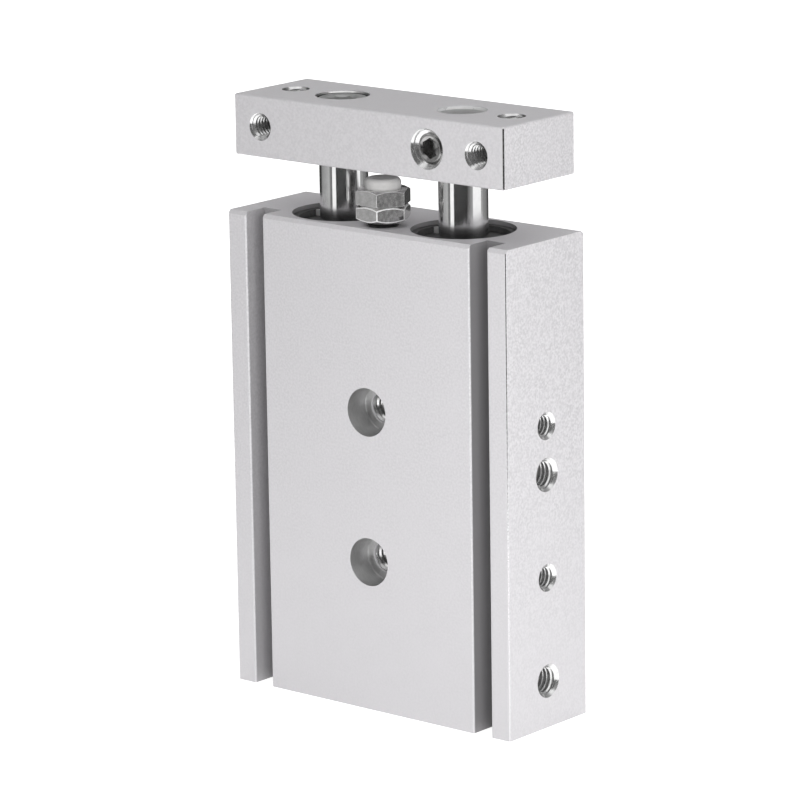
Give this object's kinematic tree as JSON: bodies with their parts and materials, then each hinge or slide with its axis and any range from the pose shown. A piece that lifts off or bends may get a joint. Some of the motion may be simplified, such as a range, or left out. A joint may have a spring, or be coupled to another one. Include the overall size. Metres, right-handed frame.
{
  "type": "guided pneumatic cylinder",
  "caption": "Flat aluminium pneumatic cylinder whose parallel guide rods carry a tool plate, with switch grooves, side air ports and an adjustable stop screw.",
  "frame": {"origin": "centre of the housing's bottom face, midway between the rods", "axes": "+X across the rods towards the open air ports, +Y towards the plain back face, +Z along the stroke towards the tool plate"},
  "size_m": [0.058, 0.02, 0.0992],
  "materials": {
    "clear_anodised": "bead blasted and clear anodised",
    "plain_aluminium": "turned",
    "black_anodised": "turned and black anodised",
    "hard_chrome": "ground and hard chrome plated",
    "bronze": "sintered",
    "black_rubber": "moulded",
    "spring_steel": "phosphated",
    "magnet": "bonded ferrite",
    "plated_steel": "nickel plated",
    "screw_steel": "plain steel",
    "urethane": "moulded urethane",
    "white_urethane": "moulded urethane"
  },
  "bodies": {
    "housing": {"housing": "clear_anodised", "port_plugs": "plated_steel", "left_rod_cover": "black_anodised", "left_rod_bush": "bronze", "left_rod_seal": "black_rubber", "left_rod_cover_oring": "black_rubber", "left_rod_snap_ring": "spring_steel", "left_head_cover": "plain_aluminium", "left_head_cover_oring": "black_rubber", "left_head_snap_ring": "spring_steel", "right_rod_cover": "black_anodised", "right_rod_bush": "bronze", "right_rod_seal": "black_rubber", "right_rod_cover_oring": "black_rubber", "right_rod_snap_ring": "spring_steel", "right_head_cover": "plain_aluminium", "right_head_cover_oring": "black_rubber", "right_head_snap_ring": "spring_steel"},
    "moving_unit": {"tool_plate": "clear_anodised", "left_rod": "hard_chrome", "right_rod": "hard_chrome", "plate_cap_screw": "screw_steel", "rod_clamp_screw": "screw_steel", "left_piston": "plain_aluminium", "left_piston_seal": "black_rubber", "left_piston_magnet": "magnet", "left_piston_washer": "plain_aluminium", "left_piston_nut": "plated_steel", "left_lower_cushion": "urethane", "left_upper_cushion": "urethane", "right_piston": "plain_aluminium", "right_piston_seal": "black_rubber", "right_piston_magnet": "magnet", "right_piston_washer": "plain_aluminium", "right_piston_nut": "plated_steel", "right_lower_cushion": "urethane", "right_upper_cushion": "urethane"},
    "stop_pad": {"bumper_pad": "white_urethane"},
    "stop_screw": {"stop_bolt": "plated_steel", "lock_nut": "plated_steel"}
  },
  "joints": [
    {"name": "rod_slide", "type": "slide", "parent": "housing", "child": "moving_unit", "axis": [0, 0, 1], "range_m": [-0.0013, 0.0187]},
    {"name": "stop_screw_travel", "type": "slide", "parent": "housing", "child": "stop_pad", "axis": [0, 0, 1], "range_m": [-0.0007, 0]},
    {"name": "stop_screw_turn", "type": "hinge", "parent": "stop_pad", "child": "stop_screw", "pos_m": [0, -0.005, 0.08], "axis": [0, 0, 1], "range_deg": [-316, 0]}
  ],
  "couplings": [
    {"joint": "stop_screw_turn", "follows": "stop_screw_travel", "rad_per_m": 7854}
  ]
}
